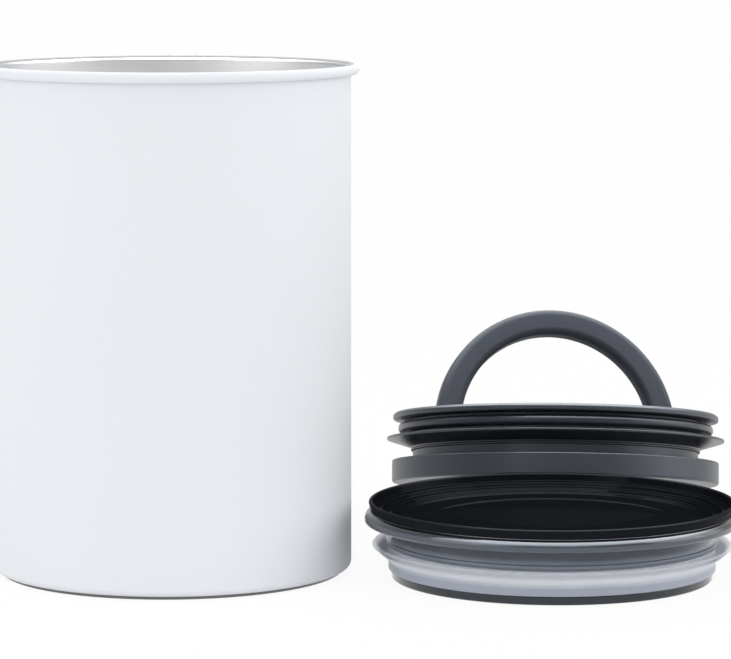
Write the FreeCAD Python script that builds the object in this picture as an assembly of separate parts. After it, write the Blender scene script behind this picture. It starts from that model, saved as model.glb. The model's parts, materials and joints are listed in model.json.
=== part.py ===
import FreeCAD, Part
import math
import os

from FreeCAD import Placement, Rotation, Vector

# All sizes are millimetres and degrees. The canister stands at the origin with its mouth up;
# its two lids lie beside it, the inner one leaning on the back rim of the outer one.

# Canister
can_height = 178.0
bore_radius = 62.4
wall = 0.6
rim_reach = 3.0
curl_turn = 80.0
curl_gap = 0.5
base_round = 2.4
hem_width = 5.5
pan_inset = 2.7
pan_height = 1.2
pan_round = 0.9

# Outer lid
cap_inset = 0.6
cap_height = 26.8
cap_edge = 3.0
edge_round = 2.2
shoulder_rise = 1.2
crown_height = 3.3
crown_inset = 1.3
crown_flare = 0.9
crown_width = 1.8
crown_round = 0.7
crown_depth = 2.8
step_rise = 1.5
step_run = 0.6
ledge_width = 2.8
disc_radius = 42.5
disc_drop = 0.4
panel = 2.4
plug_gap = 6.4
neck_reach = 1.0
neck_wall = 2.4
stop_ring_height = 1.7
stop_ring_reach = 0.8
groove_depth = 2.0
groove_height = 9.0
skirt_lip = 3.0
skirt_wall = 2.2
gasket_reach = 1.0
gasket_squeeze = 0.4
gasket_lip = 1.2
gasket_root = 3.5
gasket_rise = 5.0

# Inner lid, measured from its underside
guide_gap = 0.25
band_height = 8.5
band_wall = 2.0
band_edge = 1.0
cup_plate = 2.0
neck_height = 3.7
cup_neck_wall = 2.7
deck_lip = 0.6
deck_lip_reach = 0.7
land_depth = 10.9
deck_wall = 3.0
deck_skirt = 4.0
deck_skirt_wall = 2.0
deck_floor = 1.8
flange_inset = 0.5
flange_edge = 1.8
flange_thickness = 2.6
flange_crown = 1.0
lower_wiper_height = 4.6
lower_wiper_wall = 3.5
lower_wiper_base = 0.7
lower_wiper_lip = 1.0
lower_wiper_rise = 3.5
wiper_squeeze = 1.8
upper_wiper_height = 6.35
upper_wiper_wall = 4.0
upper_wiper_bead = 3.6
upper_wiper_reach = 4.4
press = 0.02
fit = 0.05
slip = 0.1

# Handle
handle_width = 9.5
handle_thickness = 9.0
handle_round = 2.4
handle_back = 10.0
handle_sink = 1.2
fold_gap = 0.4
boss_length = 1.5
boss_gap = 0.3
boss_radius = 4.2
pin_radius = 1.4
pin_reach = 6.8
cam_radius = 4.2
cam_width = 3.6
cam_root = 0.5
cam_gap = 0.12

# Valve
valve_travel = 2.0
valve_radius = 13.2
seat_gap = 0.05
disc_thickness = 1.5
retainer_thickness = 1.0
retainer_radius = 5.0
guard_thickness = 1.2
guard_gap = 0.7
guard_ledge = 1.0
guard_slots = 8
guard_slot_width = 2.0
guard_slot_start = 4.5
well_gap = 3.0
well_wall = 2.2
well_floor = 2.0
stem_radius = 2.0
vent_radius = 1.6
vent_pitch = 10.2
vent_count = 6
bridge_width = 7.0
bridge_bar = 2.4
bridge_gap = 0.4
hub_radius = 9.5
hub_height = 4.2
hub_sleeve = 1.6
pocket_depth = 2.6
dome_gap = 0.8
dome_room = 2.2
dome_wall = 1.8
post_width = 6.0
post_gap = 0.5
slot_gap = 0.8
spring_wire = 0.8
spring_turns = 2

# Deck screws
screw_count = 4
screw_inset = 5.5
screw_radius = 1.4
screw_head = 2.8
screw_length = 9.0
screw_post = 3.4
recess_width = 0.7
recess_depth = 0.9

# Layout of the set
set_gap = 1.6
cap_forward = 14.5
rest_turn = 75.0
lid_bearing = 3.3
lid_turn = 11.0
lean_gap = 0.3

# Worked out: canister
body_radius = bore_radius + wall
rim_radius = body_radius + rim_reach
pan_radius = body_radius - pan_inset
rim_round = (rim_radius - bore_radius) / 2

# Worked out: outer lid
cap_radius = rim_radius - cap_inset
plug_radius = bore_radius - plug_gap
neck_radius = plug_radius + neck_reach
groove_radius = plug_radius - groove_depth
groove_top = skirt_lip + groove_height
crown_radius = cap_radius - crown_inset
crown_foot = cap_height - crown_height
edge_top = crown_foot - shoulder_rise
dish_floor = cap_height - crown_depth - 2.25 * step_rise
panel_under = dish_floor - disc_drop - panel

# Worked out: inner lid
band_radius = bore_radius - guide_gap
flange_radius = bore_radius - flange_inset
land_radius = bore_radius - land_depth
deck_bore = land_radius - deck_wall
neck_bore = land_radius + slip
cup_neck_radius = neck_bore + cup_neck_wall
neck_top = band_height + neck_height
land_start = neck_top + deck_lip
land_end = land_start + lower_wiper_height + upper_wiper_height + 3 * fit
deck_top = land_end + flange_thickness

# Worked out: handle, and the valve's heights with the handle up and the valve open
boss_face = deck_bore - boss_length
handle_radius = boss_face - boss_gap
handle_inner = handle_radius - handle_width
handle_fold = 90 + handle_back
pivot_height = deck_top - handle_sink - handle_thickness / 2
floor_top = pivot_height - handle_thickness / 2 - fold_gap
floor_under = floor_top - deck_floor
bar_top = floor_under - bridge_gap - valve_travel
bar_under = bar_top - bridge_bar
hub_top = bar_under + hub_height
dome_roof = hub_top + valve_travel + dome_gap
dome_bore = hub_radius + dome_room
well_depth = (guard_thickness + guard_gap + retainer_thickness + valve_travel
              + disc_thickness + seat_gap)
well_top = well_depth + well_floor
well_bore = valve_radius + well_gap
disc_top = well_depth - seat_gap - valve_travel
disc_under = disc_top - disc_thickness
stem_end = disc_under - retainer_thickness
cam_throw = valve_travel / (2 * math.sin(math.radians(handle_fold / 2)))
cam_face = handle_inner - cam_width
post_top = pivot_height - cam_radius - valve_travel / 2 - cam_gap
post_outer = handle_inner - post_gap
screw_circle = deck_bore - screw_inset

# Worked out: where the lids lie, the inner one's lower edge against the round of the outer one's crown
up = Vector(0, 0, 1)
across = Vector(1, 0, 0)
bearing = math.radians(lid_bearing)
crown_corner = math.pi / 2 - math.atan2(crown_flare, crown_height)
round_centre = crown_radius - crown_round / math.tan(crown_corner / 2)
rest = math.radians(rest_turn)
rest_gap = band_edge + crown_round + lean_gap
rest_rise = cap_height - crown_round + rest_gap * math.cos(rest) - band_edge
lid_arm = band_radius - band_edge
lean = math.asin(rest_rise / (2 * lid_arm))
cap_spot = Vector(rim_radius + cap_radius + set_gap, -cap_forward, 0)
lid_lift = lid_arm * math.sin(lean) + band_edge * (1 - math.cos(lean))
lid_away = (round_centre + rest_gap * math.sin(rest) + lid_arm * math.cos(lean)
            - band_edge * math.sin(lean))
lid_spot = cap_spot + Vector(lid_away * math.sin(bearing), lid_away * math.cos(bearing), lid_lift)
lean_axis = Vector(math.cos(bearing), -math.sin(bearing), 0)
cap_place = Placement(cap_spot, Rotation())
lid_place = Placement(lid_spot, Rotation(lean_axis, -math.degrees(lean)).multiply(Rotation(up, lid_turn)))


def outline(corners):
    """Closed wire in the XZ plane from (radius, height) or (radius, height, rounding) corners."""
    points = [Vector(corner[0], 0, corner[1]) for corner in corners]
    roundings = [corner[2] if len(corner) > 2 else 0.0 for corner in corners]
    edges = []
    last = None
    first = None
    for index, point in enumerate(points):
        to_before = (points[index - 1] - point).normalize()
        to_after = (points[(index + 1) % len(points)] - point).normalize()
        half = to_before.getAngle(to_after) / 2
        reach = roundings[index] / math.tan(half)
        entry = point + to_before * reach
        leave = point + to_after * reach
        if last is not None and last.distanceToPoint(entry) > 1e-6:
            edges.append(Part.LineSegment(last, entry).toShape())
        if reach > 0:
            inward = (to_before + to_after).normalize()
            middle = point + inward * (roundings[index] / math.sin(half) - roundings[index])
            edges.append(Part.Arc(entry, middle, leave).toShape())
        if first is None:
            first = entry
        last = leave
    edges.append(Part.LineSegment(last, first).toShape())
    return Part.Wire(edges)


def turned(corners):
    """Solid of revolution about the Z axis."""
    return Part.Face(outline(corners)).revolve(Vector(), up, 360)


def post(radius, x, y, low, high):
    """Upright cylinder between two heights."""
    return Part.makeCylinder(radius, high - low, Vector(x, y, low), up)


def block(x_range, y_range, z_range):
    """Box between two corners."""
    low = Vector(x_range[0], y_range[0], z_range[0])
    size = [x_range[1] - x_range[0], y_range[1] - y_range[0], z_range[1] - z_range[0]]
    return Part.makeBox(size[0], size[1], size[2], low)


def both_sides(shape):
    """A shape and its mirror image across the YZ plane."""
    return [shape, shape.mirror(Vector(), across)]


def ring_places(count, radius, first=0.0):
    """Evenly spaced (x, y) places round the axis."""
    angles = [math.radians(first + 360.0 * index / count) for index in range(count)]
    return [(radius * math.cos(angle), radius * math.sin(angle)) for angle in angles]


def canister_wall():
    """Sheet-steel tube with a rolled rim and a turned-in hem at the foot."""
    turn = math.radians(curl_turn)
    bend = can_height - rim_round * (1 + math.tan(turn / 2))
    inner_bend = bend + wall * math.tan(turn / 2)
    leg = (rim_reach - curl_gap - wall * math.cos(turn)) / math.sin(turn)
    end = (rim_radius - leg * math.sin(turn), bend - leg * math.cos(turn))
    inner_end = (end[0] - wall * math.cos(turn), end[1] + wall * math.sin(turn))
    hem_radius = body_radius - hem_width
    return turned([
        (hem_radius, pan_height),
        (body_radius, pan_height, base_round),
        (body_radius, can_height - wall, rim_round - wall),
        (rim_radius - wall, can_height - wall, rim_round - wall),
        (rim_radius - wall, inner_bend, rim_round - wall),
        inner_end,
        end,
        (rim_radius, bend, rim_round),
        (rim_radius, can_height, rim_round),
        (bore_radius, can_height, rim_round),
        (bore_radius, pan_height + wall, base_round - wall),
        (hem_radius, pan_height + wall),
    ])


def base_pan():
    """Flat pan with a short turned-up edge, welded under the hem."""
    return turned([
        (0, 0),
        (pan_radius, 0, pan_round),
        (pan_radius, pan_height),
        (pan_radius - wall, pan_height),
        (pan_radius - wall, wall, pan_round - wall),
        (0, wall),
    ])


def dish_steps():
    """Corners of the stepped dish, from the crown's inner edge in to the flat disc."""
    small = step_rise / 4
    radius = crown_radius - crown_width
    height = cap_height - crown_depth
    corners = [(radius, cap_height, crown_round)]
    for share in (1, 0.75, 0.5):
        radius -= step_run
        corners.append((radius, height, small))
        radius -= ledge_width * min(1, 2 * share - 0.5)
        corners.append((radius, height, small))
        height -= step_rise * share
    corners.append((radius - step_run, dish_floor, small))
    corners.append((disc_radius + disc_drop, dish_floor, disc_drop / 3))
    corners.append((disc_radius, dish_floor - disc_drop, disc_drop / 3))
    return corners


def outer_lid_shell():
    """Cap with a flange, a shallow stepped dish and a hollow plug with a gasket groove."""
    flange_under = edge_top - cap_edge
    ring_top = groove_top + stop_ring_height
    ring_radius = neck_radius + stop_ring_reach
    skirt_bore = groove_radius - skirt_wall
    neck_room = neck_radius - neck_wall
    small = skirt_wall / 6
    return turned([
        (0, panel_under),
        (neck_room, panel_under, neck_wall / 2),
        (neck_room, ring_top + stop_ring_height, small),
        (skirt_bore, groove_top + neck_reach, small),
        (skirt_bore, 0, small),
        (plug_radius, 0, 2 * small),
        (plug_radius, skirt_lip, small),
        (groove_radius, skirt_lip),
        (groove_radius, groove_top),
        (ring_radius, groove_top, small),
        (ring_radius, ring_top, small),
        (neck_radius, ring_top, small),
        (neck_radius, flange_under, neck_reach),
        (cap_radius, flange_under, cap_edge / 3),
        (cap_radius, edge_top, edge_round),
        (crown_radius - crown_flare, crown_foot, crown_round / 2),
        (crown_radius, cap_height, crown_round),
    ] + dish_steps() + [(0, dish_floor - disc_drop)])


def outer_lid_gasket():
    """Silicone band in the plug's groove, with a lip that flares out and up."""
    band = plug_radius + gasket_reach
    root = skirt_lip + gasket_root
    tip_radius = bore_radius + gasket_squeeze
    tip = root + gasket_rise
    slope = math.atan2(gasket_rise, tip_radius - band)
    thick_up = gasket_lip / math.cos(slope)
    return turned([
        (groove_radius + fit, skirt_lip + fit),
        (band, skirt_lip + fit, gasket_reach / 2),
        (band, root, gasket_lip / 2),
        (tip_radius, tip, gasket_lip / 2.5),
        (tip_radius - gasket_lip * math.sin(slope), tip + gasket_lip * math.cos(slope), gasket_lip / 2.5),
        (band, root + thick_up, gasket_lip / 2),
        (band, groove_top - fit, gasket_reach / 2),
        (groove_radius + fit, groove_top - fit),
    ])


def plunger_cup():
    """Lower half of the inner lid: guide band, neck, plate, valve well and screw posts."""
    well_radius = well_bore + well_wall
    guard_bore = well_bore + guard_ledge
    stem_bore = stem_radius + slip
    small = band_wall / 4
    cup = turned([
        (stem_bore, well_top),
        (well_radius, well_top, small),
        (well_radius, cup_plate, small),
        (neck_bore, cup_plate, small),
        (neck_bore, neck_top),
        (cup_neck_radius, neck_top, small / 2),
        (cup_neck_radius, cup_plate, small),
        (band_radius - band_wall, cup_plate, small),
        (band_radius - band_wall, band_height, small),
        (band_radius, band_height, small),
        (band_radius, 0, band_edge),
        (guard_bore, 0),
        (guard_bore, guard_thickness),
        (well_bore, guard_thickness),
        (well_bore, well_depth),
        (stem_bore, well_depth),
    ])
    for x, y in ring_places(vent_count, vent_pitch):
        cup = cup.cut(post(vent_radius, x, y, well_depth - fit, well_top + fit))
    for x, y in ring_places(screw_count, screw_circle, 45.0):
        cup = cup.fuse(post(screw_post, x, y, cup_plate - fit, floor_under))
        cup = cup.cut(post(screw_radius, x, y, floor_top - screw_length, floor_under + fit))
    return cup.removeSplitter()


def top_deck():
    """Upper half of the inner lid: flange, seal land, sunken floor, dome and pivot bosses."""
    small = flange_edge / 4
    skirt_bore = land_radius - deck_skirt_wall
    dome_radius = dome_bore + dome_wall
    deck = turned([
        (0, dome_roof + dome_wall),
        (dome_radius, dome_roof + dome_wall, dome_wall),
        (dome_radius, floor_top, small),
        (deck_bore, floor_top, deck_wall / 3),
        (deck_bore, deck_top, small),
        (flange_radius - flange_crown, deck_top, flange_crown / 2),
        (flange_radius, land_end + flange_edge, flange_edge / 3),
        (flange_radius, land_end, flange_edge / 3),
        (land_radius, land_end),
        (land_radius, land_start),
        (cup_neck_radius + deck_lip_reach, land_start, deck_lip / 4),
        (cup_neck_radius + deck_lip_reach, neck_top, deck_lip / 4),
        (land_radius, neck_top),
        (land_radius, neck_top - deck_skirt, small),
        (skirt_bore, neck_top - deck_skirt, small),
        (skirt_bore, floor_under),
        (dome_bore, floor_under),
        (dome_bore, dome_roof, dome_wall / 2),
        (0, dome_roof),
    ])
    pivot = across * boss_face + up * pivot_height
    boss_end = deck_bore + deck_wall / 2
    boss = Part.makeCylinder(boss_radius, boss_end - boss_face, pivot, across)
    boss_foot = block((boss_face, boss_end), (-boss_radius, boss_radius), (floor_top - fit, pivot_height))
    deck = deck.fuse(both_sides(boss.fuse(boss_foot)))
    pin_hole = Part.makeCylinder(pin_radius + press, boss_length + deck_wall + slip, pivot, across)
    slot_half = post_width / 2 + slot_gap
    slot = block((cam_face - slot_gap, handle_inner + slot_gap), (-slot_half, slot_half),
                 (floor_under - fit, floor_top + fit))
    deck = deck.cut(both_sides(pin_hole) + both_sides(slot))
    for x, y in ring_places(screw_count, screw_circle, 45.0):
        deck = deck.cut(screw_hole(x, y))
    return deck.removeSplitter()


def screw_hole(x, y):
    """Clearance hole with a countersink in the deck's floor."""
    drop = screw_head - screw_radius
    hole = post(screw_radius + slip, x, y, floor_under - fit, floor_top + fit)
    sink = Part.makeCone(screw_radius + slip, screw_head + slip, drop,
                         Vector(x, y, floor_top - drop), up)
    return hole.fuse(sink)


def deck_screws():
    """Countersunk screws with cross recesses, one group."""
    drop = screw_head - screw_radius
    screws = []
    for x, y in ring_places(screw_count, screw_circle, 45.0):
        top = floor_top - fit
        shank = post(screw_radius - fit, x, y, floor_top - screw_length + fit, top - drop + fit)
        head = Part.makeCone(screw_radius, screw_head, drop, Vector(x, y, top - drop), up)
        screw = shank.fuse(head)
        half = recess_width / 2
        for long_x, long_y in ((screw_radius, half), (half, screw_radius)):
            screw = screw.cut(block((x - long_x, x + long_x), (y - long_y, y + long_y),
                                    (top - recess_depth, top + fit)))
        screws.append(screw.removeSplitter())
    return Part.makeCompound(screws)


def lower_wiper():
    """Rubber ring whose thin lip flares out past the canister's bore."""
    inner = land_radius + fit
    root = land_radius + lower_wiper_wall
    tip = bore_radius + wiper_squeeze
    low = land_start + fit
    high = low + lower_wiper_height
    lip_low = low + lower_wiper_base
    tip_low = low + lower_wiper_rise
    small = lower_wiper_lip / 4
    return turned([
        (inner, low),
        (root, low, small),
        (root, lip_low, small),
        (tip, tip_low, small),
        (tip, tip_low + 0.9 * lower_wiper_lip, small),
        (root, lip_low + 1.5 * lower_wiper_lip, small),
        (root, high, small),
        (inner, high),
    ])


def upper_wiper():
    """Rubber ring with a round bead."""
    inner = land_radius + fit
    root = land_radius + upper_wiper_wall
    low = land_start + lower_wiper_height + 2 * fit
    high = low + upper_wiper_height
    middle = (low + high) / 2
    bead = upper_wiper_bead / 2
    small = bead / 5
    return turned([
        (inner, low),
        (root, low, small),
        (root, middle - bead, small),
        (root + upper_wiper_reach, middle - bead, 4 * small),
        (root + upper_wiper_reach, middle + bead, 4 * small),
        (root, middle + bead, small),
        (root, high, small),
        (inner, high),
    ])


def handle_pins():
    """Steel pins through the bosses into the handle's feet, one group."""
    start = handle_radius - pin_reach
    pin = Part.makeCylinder(pin_radius, land_radius - slip - start,
                            across * start + up * pivot_height, across)
    return Part.makeCompound(both_sides(pin))


def handle_bow():
    """Half-ring grip of rounded section, standing up from the pivot line."""
    half = handle_thickness / 2
    section = outline([
        (handle_inner, -half, handle_round),
        (handle_radius, -half, handle_round),
        (handle_radius, half, handle_round),
        (handle_inner, half, handle_round),
    ])
    section.rotate(Vector(), across, 90)
    return Part.Face(section).revolve(Vector(), Vector(0, 1, 0), -180)


def handle_foot():
    """Round lower end of one leg, swept about the pivot line."""
    half = handle_thickness / 2
    section = outline([
        (handle_inner, 0),
        (handle_radius, 0),
        (handle_radius, half, handle_round),
        (handle_inner, half, handle_round),
    ])
    section.rotate(Vector(), across, 90)
    return Part.Face(section).revolve(Vector(), across, 180)


def bail_handle():
    """Grip with round feet, pin holes and the eccentric discs that work the valve."""
    phase = math.radians(handle_fold / 2)
    throw = Vector(0, cam_throw * math.cos(phase), -cam_throw * math.sin(phase))
    handle = handle_bow().fuse(both_sides(handle_foot()))
    handle.rotate(Vector(), across, -handle_back)
    cam = Part.makeCylinder(cam_radius, cam_width + cam_root, across * cam_face + throw, across)
    hole = Part.makeCylinder(pin_radius + fit, pin_reach + 2 * slip,
                             across * (handle_radius - pin_reach - slip), across)
    handle = handle.fuse(both_sides(cam)).cut(both_sides(hole))
    handle.translate(up * pivot_height)
    return handle.removeSplitter()


def valve_bridge():
    """Crossbar with a sprung hub in the middle and a post under each eccentric disc."""
    half = bridge_width / 2
    bar = block((-post_outer, post_outer), (-half, half), (bar_under, bar_top))
    hub = post(hub_radius, 0, 0, bar_under, hub_top)
    foot = block((cam_face, post_outer), (-post_width / 2, post_width / 2), (bar_under, post_top))
    pocket_roof = bar_under + pocket_depth
    pocket = post(hub_radius - hub_sleeve / 2, 0, 0, bar_under - fit, pocket_roof)
    sleeve = post(stem_radius + hub_sleeve, 0, 0, bar_under - fit, pocket_roof)
    bore = post(stem_radius + press, 0, 0, bar_under - fit, hub_top + fit)
    bridge = bar.fuse([hub] + both_sides(foot))
    return bridge.cut([pocket.cut(sleeve), bore]).removeSplitter()


def valve_stem():
    """Rod that joins the bridge to the sealing disc."""
    return post(stem_radius, 0, 0, stem_end, hub_top)


def valve_disc():
    """Silicone disc that closes the vent holes from below."""
    edge = disc_thickness / 4
    return turned([
        (stem_radius + press, disc_under),
        (valve_radius, disc_under, edge),
        (valve_radius, disc_top, edge),
        (stem_radius + press, disc_top),
    ])


def valve_retainer():
    """Washer pressed on the stem's end under the disc."""
    edge = retainer_thickness / 4
    return turned([
        (stem_radius + press, stem_end),
        (retainer_radius, stem_end, edge),
        (retainer_radius, disc_under),
        (stem_radius + press, disc_under),
    ])


def valve_guard():
    """Slotted cover that closes the valve's well, flush with the underside."""
    guard_radius = well_bore + guard_ledge - fit
    guard = turned([
        (0, 0),
        (guard_radius, 0, guard_thickness / 4),
        (guard_radius, guard_thickness),
        (0, guard_thickness),
    ])
    half = guard_slot_width / 2
    slot_end = well_bore - half
    for index in range(guard_slots):
        slot = block((guard_slot_start, slot_end), (-half, half), (-fit, guard_thickness + fit))
        slot.rotate(Vector(), up, 360.0 * index / guard_slots)
        guard = guard.cut(slot)
    return guard.removeSplitter()


def biarc(start, start_way, end, end_way):
    """Two tangent arcs between two points with given directions."""
    step = end - start
    ways = start_way + end_way
    spread = 2 * (1 - start_way.dot(end_way))
    along = step.dot(ways)
    reach = (math.sqrt(along * along + spread * step.dot(step)) - along) / spread
    joint = (start + end + (start_way - end_way) * reach) * 0.5
    return [arc_from(start, start_way, joint), arc_from(end, end_way * -1, joint, True)]


def arc_from(start, way, end, backwards=False):
    """Arc that leaves a point in a given direction and ends at another."""
    chord = end - start
    side = (chord - way * chord.dot(way)).normalize()
    radius = chord.dot(chord) / (2 * chord.dot(side))
    centre = start + side * radius
    middle = centre + ((start - centre) + (end - centre)).normalize() * radius
    if backwards:
        start, end = end, start
    return Part.Arc(start, middle, end).toShape()


def valve_spring():
    """Coil between the well's floor and the roof of the bridge's pocket."""
    coil_radius = (stem_radius + hub_sleeve + hub_radius - hub_sleeve / 2) / 2
    low = well_top + fit + spring_wire / 2
    high = bar_under + pocket_depth - fit - spring_wire / 2
    pitch = (high - low) / spring_turns
    slope = math.atan2(pitch, 2 * math.pi * coil_radius)
    places = []
    ways = []
    for quarter in range(4 * spring_turns + 1):
        angle = math.pi / 2 * quarter
        places.append(Vector(coil_radius * math.cos(angle), coil_radius * math.sin(angle),
                             low + pitch * quarter / 4))
        ways.append(Vector(-math.sin(angle) * math.cos(slope), math.cos(angle) * math.cos(slope),
                           math.sin(slope)))
    edges = []
    for quarter in range(4 * spring_turns):
        edges += biarc(places[quarter], ways[quarter], places[quarter + 1], ways[quarter + 1])
    section = Part.Wire(Part.makeCircle(spring_wire / 2, places[0], ways[0]))
    print("spring: gap between turns %.2f mm" % (pitch * math.cos(slope) - spring_wire))
    return Part.Wire(edges).makePipeShell([section], True, False)


def placed(shape, place):
    """Copy of a shape carried to its place in the set."""
    copy = shape.copy()
    copy.Placement = place.multiply(copy.Placement)
    return copy


canister_pieces = {"canister_wall": canister_wall, "base_pan": base_pan}
outer_lid_pieces = {"outer_lid_shell": outer_lid_shell, "outer_lid_gasket": outer_lid_gasket}
inner_lid_pieces = {
    "plunger_cup": plunger_cup,
    "top_deck": top_deck,
    "lower_wiper": lower_wiper,
    "upper_wiper": upper_wiper,
    "deck_screws": deck_screws,
    "handle_pins": handle_pins,
    "bail_handle": bail_handle,
    "valve_bridge": valve_bridge,
    "valve_stem": valve_stem,
    "valve_disc": valve_disc,
    "valve_retainer": valve_retainer,
    "valve_guard": valve_guard,
    "valve_spring": valve_spring,
}


def main():
    os.makedirs("parts", exist_ok=True)
    groups = [(canister_pieces, Placement()), (outer_lid_pieces, cap_place), (inner_lid_pieces, lid_place)]
    for pieces, place in groups:
        for name, make in pieces.items():
            shape = placed(make(), place)
            shape.exportStep("parts/%s.step" % name)
            print("%s: %d solid(s), %.0f mm3, valid %s" % (
                name, len(shape.Solids), shape.Volume, shape.isValid()))


main()
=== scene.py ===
# %% [markdown]
# # A coffee canister and its two lids
# The set is a white painted steel canister with an open mouth, a smoky outer lid lying flat
# beside it, and a black plunging lid that leans on the back of the outer lid with its handle up.
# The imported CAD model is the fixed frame: every piece made here is placed in that frame, in
# metres, and rides on one of its bodies.

# %% Load the frame
import json
import math

import bmesh
import bpy
from mathutils import Matrix, Vector


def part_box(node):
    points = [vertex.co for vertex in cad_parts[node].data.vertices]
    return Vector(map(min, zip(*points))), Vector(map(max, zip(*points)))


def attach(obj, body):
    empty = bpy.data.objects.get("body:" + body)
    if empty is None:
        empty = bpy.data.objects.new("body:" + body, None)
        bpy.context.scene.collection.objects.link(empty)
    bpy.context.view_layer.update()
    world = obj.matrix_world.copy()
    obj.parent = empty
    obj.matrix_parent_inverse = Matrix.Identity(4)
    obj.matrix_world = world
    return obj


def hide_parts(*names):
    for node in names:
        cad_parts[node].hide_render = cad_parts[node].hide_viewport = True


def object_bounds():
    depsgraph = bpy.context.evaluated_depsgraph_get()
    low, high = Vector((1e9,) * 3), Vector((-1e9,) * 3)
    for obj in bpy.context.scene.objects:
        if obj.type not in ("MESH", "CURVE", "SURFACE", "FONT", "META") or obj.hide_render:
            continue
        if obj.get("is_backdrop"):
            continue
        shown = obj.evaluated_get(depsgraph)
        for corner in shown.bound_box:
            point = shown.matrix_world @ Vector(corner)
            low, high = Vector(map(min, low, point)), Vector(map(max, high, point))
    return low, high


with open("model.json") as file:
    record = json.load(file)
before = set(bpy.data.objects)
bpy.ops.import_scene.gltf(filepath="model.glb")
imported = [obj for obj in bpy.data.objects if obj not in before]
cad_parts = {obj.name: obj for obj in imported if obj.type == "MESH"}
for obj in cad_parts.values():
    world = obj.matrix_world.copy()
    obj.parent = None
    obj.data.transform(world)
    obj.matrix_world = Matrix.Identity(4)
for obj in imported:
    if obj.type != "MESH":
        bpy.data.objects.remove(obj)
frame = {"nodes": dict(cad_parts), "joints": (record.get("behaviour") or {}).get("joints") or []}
cad_low, cad_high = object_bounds()
nodes = frame["nodes"]
joints = {joint["name"]: joint for joint in frame["joints"]}
cad_size = [round(1000 * (high - low), 1) for low, high in zip(cad_low, cad_high)]
print("CAD box in mm:", cad_size)

# %% [markdown]
# ## The camera
# The photograph was taken from far off with a long lens, a little above the lids, so upright
# lines stay upright and the circles are thin ellipses. The camera looks along +Y with a small
# tilt down, and the lens is written from the focal length in pixels and the width of the picture.

# %% Camera
PICTURE_WIDTH = 731
FOCAL_PIXELS = 3850.0
CAMERA_PLACE = Vector((0.068, -1.340, 0.240))
CAMERA_TILT = math.radians(6.6)

camera_data = bpy.data.cameras.new("camera")
camera_data.sensor_width = 36.0
camera_data.lens = camera_data.sensor_width * FOCAL_PIXELS / PICTURE_WIDTH
camera_data.clip_start = 0.05
camera = bpy.data.objects.new("camera", camera_data)
camera.location = CAMERA_PLACE
camera.rotation_euler = (math.pi / 2 - CAMERA_TILT, 0, 0)
bpy.context.scene.collection.objects.link(camera)
bpy.context.scene.camera = camera
print("lens: %.1f mm" % camera_data.lens)

# %% [markdown]
# ## Shaders as sums
# A material is a graph of nodes. Wrapping a socket in a small class lets the graph be written as
# ordinary expressions, such as 1 - mask * 0.3, and one method adds every other kind of node: its
# settings first, then the values or links of its sockets.

# %% Shader class
class Shade:
    """A socket of a node tree that can be used in Python sums."""

    def __init__(self, tree, socket=None):
        self.tree = tree
        self.socket = socket

    def node(self, kind, settings=None, inputs=None, output=0):
        """Adds a node and gives one of its outputs."""
        made = self.tree.nodes.new(kind)
        for name, value in (settings or {}).items():
            setattr(made, name, value)
        for name, value in (inputs or {}).items():
            if isinstance(value, Shade):
                self.tree.links.new(value.socket, made.inputs[name])
            else:
                made.inputs[name].default_value = value
        return Shade(self.tree, made.outputs[output] if made.outputs else None)

    def math(self, operation, first, second):
        """Adds a Math node for two values."""
        return self.node("ShaderNodeMath", {"operation": operation}, {0: first, 1: second})

    def __add__(self, other):
        return self.math("ADD", self, other)

    __radd__ = __add__

    def __sub__(self, other):
        return self.math("SUBTRACT", self, other)

    def __rsub__(self, other):
        return self.math("SUBTRACT", other, self)

    def __mul__(self, other):
        return self.math("MULTIPLY", self, other)

    __rmul__ = __mul__


def new_material(name):
    """An empty material and the Shade that adds nodes to it."""
    material = bpy.data.materials.new(name)
    material.use_nodes = True
    material.node_tree.nodes.clear()
    return material, Shade(material.node_tree)


def finish_material(shade, surface):
    """Links a shader to the material's output."""
    shade.node("ShaderNodeOutputMaterial", inputs={"Surface": surface})


def place(shade):
    """Object coordinates in metres, which are the set's own axes."""
    return shade.node("ShaderNodeTexCoord", output="Object")


def noise(shade, vector, scale, detail=2.0, roughness=0.5):
    """Cloudy pattern from 0 to 1; scale is in waves per metre."""
    return shade.node("ShaderNodeTexNoise", inputs={
        "Vector": vector, "Scale": scale, "Detail": detail, "Roughness": roughness})


def bump(shade, pattern, distance):
    """Normal that follows a pattern of heights; distance is in metres."""
    return shade.node("ShaderNodeBump", inputs={"Height": pattern, "Distance": distance})


def mix_colour(shade, factor, first, second):
    """Colour between two colours."""
    return shade.node("ShaderNodeMix", {"data_type": "RGBA"},
                      {0: factor, 6: first, 7: second}, 2)


print("shader class ready")

# %% [markdown]
# ## Floor, background and light
# The photograph is a shop picture on pure white: the light comes softly from everywhere and the
# floor melts into the background. White is given only to rays that look at the background, so the
# light on the set stays at a plain level. Glossy pieces mirror a room with a bright ceiling, a
# soft glow on either side and dim walls, darkest on the side where the photographer stands: that
# is what keeps black plastic black and leaves thin bright edges on it. The floor keeps a little
# of its own shading for the shadow.

# %% Background seen as white
WHITE = (1.0, 1.0, 1.0, 1.0)
AMBIENT = 0.87
DARK_FRONT = 0.65
DARK_BACK = 0.35
CEILING = 7.5
SIDE_GLOW = 1.6
SIDE_WAYS = ((-0.756, -0.472, 0.454), (0.882, 0.124, 0.454))
FRONT_FADE = (0.2, -0.3)
WALL_FADE = (0.85, 0.45)
CEILING_FADE = (0.4, 0.9)
GLOW_FADE = (0.8, 0.97)


def ray(shade, kind):
    """1 for rays of one kind, 0 for the others."""
    return shade.node("ShaderNodeLightPath", output=kind)


def seen_straight(shade):
    """1 for rays that look straight at something or through something clear."""
    return shade.math("MAXIMUM", ray(shade, "Is Camera Ray"), ray(shade, "Is Transmission Ray"))


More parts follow.
